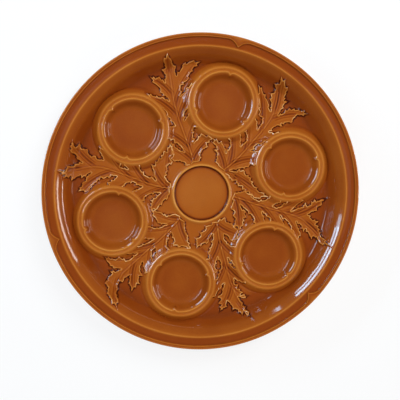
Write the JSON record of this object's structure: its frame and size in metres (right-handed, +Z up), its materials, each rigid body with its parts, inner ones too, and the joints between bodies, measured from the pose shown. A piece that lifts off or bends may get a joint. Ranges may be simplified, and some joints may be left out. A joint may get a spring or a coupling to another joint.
{
  "type": "artichoke plate",
  "caption": "Round amber-glazed earthenware artichoke plate with ringed wells, a centre seat and carved leaf branches in relief.",
  "frame": {"origin": "centre of the foot ring's resting plane", "axes": "+Z up along the plate's axis, +Y towards the top of the plate in the picture, +X to its right"},
  "size_m": [0.3714, 0.3714, 0.0367],
  "materials": {
    "bare_clay": "matt fired clay",
    "amber_glaze": "high gloss"
  },
  "bodies": {
    "root": {"clay_body": "bare_clay", "amber_glaze": "amber_glaze", "foot_recess_glaze": "amber_glaze"}
  },
  "joints": []
}
